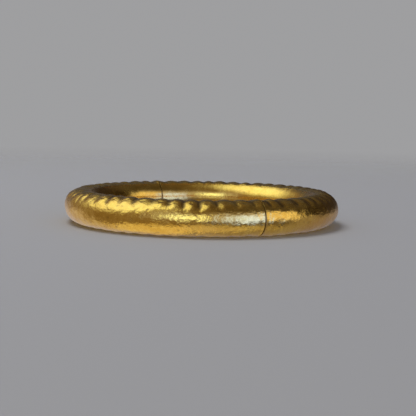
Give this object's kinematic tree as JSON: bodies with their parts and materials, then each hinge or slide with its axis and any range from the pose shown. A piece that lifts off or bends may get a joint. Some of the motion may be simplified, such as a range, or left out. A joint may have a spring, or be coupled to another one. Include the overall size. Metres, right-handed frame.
{
  "type": "hinged bangle bracelet",
  "caption": "Hinged hollow tube bangle with pleated, hand-hammered flanks, a spring tongue catch and a knuckle hinge.",
  "frame": {"origin": "centre of the ring, on the plane that the bangle rests on when it lies flat", "axes": "+Z is the ring's axis, up when it lies flat; -Y is the front, where the mouth is to the right; +X is right"},
  "size_m": [0.077, 0.077, 0.0095],
  "materials": {
    "gold_shell": "hand-hammered satin with polished high spots",
    "gold_band": "smooth, worn satin",
    "gold_plate": "filed and lightly brushed",
    "gold_wire": "drawn and polished",
    "spring_gold": "rolled hard sheet, satin"
  },
  "bodies": {
    "rear_half": {"rear_outer_shell": "gold_shell", "rear_inner_band": "gold_band", "rear_mouth_cap": "gold_plate", "rear_hinge_cap": "gold_plate", "catch_box": "gold_plate", "rear_knuckle_lower": "gold_wire", "rear_knuckle_middle": "gold_wire", "rear_knuckle_upper": "gold_wire", "hinge_pin": "gold_wire"},
    "front_half": {"front_outer_shell": "gold_shell", "front_inner_band": "gold_band", "front_mouth_cap": "gold_plate", "front_hinge_cap": "gold_plate", "front_knuckle_lower": "gold_wire", "front_knuckle_upper": "gold_wire", "tongue_base": "spring_gold"},
    "spring_leaf": {"tongue_leaf": "spring_gold", "release_nib": "gold_wire"}
  },
  "joints": [
    {"name": "bangle_hinge", "type": "hinge", "parent": "rear_half", "child": "front_half", "pos_m": [-0.01565, 0.03386, 0.00475], "axis": [0, 0, -1], "range_deg": [0, 50]},
    {"name": "leaf_press", "type": "hinge", "parent": "front_half", "child": "spring_leaf", "pos_m": [0.01988, -0.02799, 0.0049], "axis": [-0.4195, 0.9078, 0], "range_deg": [0, 7], "stiffness_Nm_per_rad": 0.05}
  ]
}
